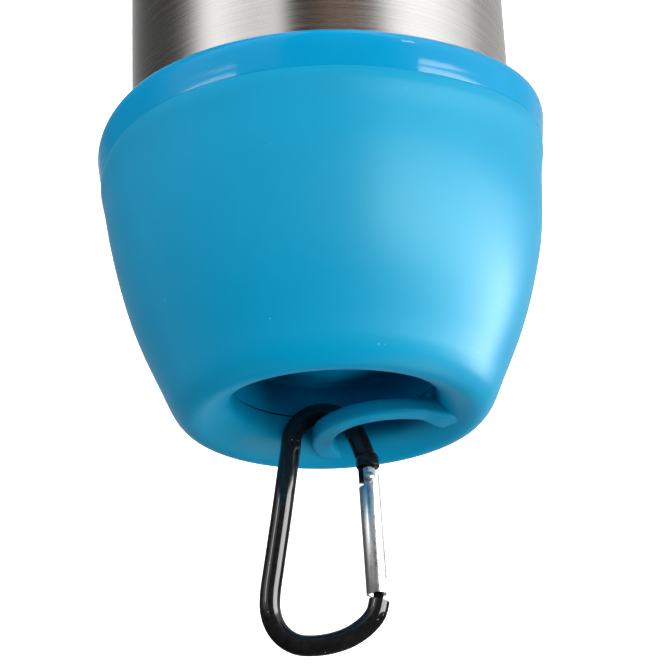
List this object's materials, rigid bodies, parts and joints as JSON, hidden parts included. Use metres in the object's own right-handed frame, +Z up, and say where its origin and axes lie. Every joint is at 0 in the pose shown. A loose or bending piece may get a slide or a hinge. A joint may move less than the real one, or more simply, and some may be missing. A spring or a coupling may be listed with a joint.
{
  "type": "travel pet water bottle",
  "caption": "Steel travel water bottle whose screw cap is a drinking bowl, with a loop bar and a small snap carabiner on the end of the cap.",
  "frame": {"origin": "centre of the bottle's base, on the surface it stands on", "axes": "+Z up along the bottle's axis towards the cap, -Y towards the side of the loop bar's open recess, +X towards the carabiner's spine"},
  "size_m": [0.0886, 0.089, 0.2797],
  "materials": {
    "steel_brushed": "bare stainless steel with fine brushing round the body",
    "steel_plain": "plain drawn stainless steel",
    "getter_grey": "dull grey sintered metal",
    "silicone": "translucent white silicone",
    "blue_gloss": "glossy moulded blue plastic",
    "blue_matte": "satin soft-touch blue plastic",
    "black_gloss": "glossy black coated aluminium wire",
    "gate_aluminium": "satin aluminium",
    "spring_steel": "drawn spring steel"
  },
  "bodies": {
    "bottle": {"outer_wall": "steel_brushed", "inner_wall": "steel_plain", "outer_bottom": "steel_plain", "getter": "getter_grey", "vacuum_seal": "getter_grey", "base_plate": "steel_brushed"},
    "gasket": {"mouth_gasket": "silicone"},
    "cap": {"bowl_liner": "blue_gloss", "cap_shell": "blue_matte"},
    "carabiner": {"carabiner_frame": "black_gloss"},
    "gate": {"gate_sleeve": "gate_aluminium", "gate_rivet": "gate_aluminium", "gate_spring": "spring_steel"},
    "plunger": {"gate_plunger": "spring_steel"}
  },
  "joints": [
    {"name": "cap_lift", "type": "slide", "parent": "bottle", "child": "gasket", "axis": [0, 0, 1], "range_m": [0, 0.01205]},
    {"name": "cap_turn", "type": "hinge", "parent": "gasket", "child": "cap", "pos_m": [0, 0, 0.2], "axis": [0, 0, 1], "range_deg": [0, 540]},
    {"name": "carabiner_swing", "type": "hinge", "parent": "cap", "child": "carabiner", "pos_m": [0.0023, 0.0152, 0.2377], "axis": [0, 1, 0], "range_deg": [-47, 36]},
    {"name": "gate_open", "type": "hinge", "parent": "carabiner", "child": "gate", "pos_m": [-0.00616, 0.0152, 0.2455], "axis": [0, 1, 0], "range_deg": [0, 28], "stiffness_Nm_per_rad": 0.05, "springref_deg": -28.65},
    {"name": "plunger_slide", "type": "slide", "parent": "gate", "child": "plunger", "axis": [-0.0227, 0, 0.9997], "range_m": [0, 0.0005], "deforming": ["gate_spring"]}
  ],
  "couplings": [
    {"joint": "cap_lift", "follows": "cap_turn", "m_per_rad": 0.0012732},
    {"joint": "plunger_slide", "follows": "gate_open", "m_per_rad": 0.0009}
  ]
}
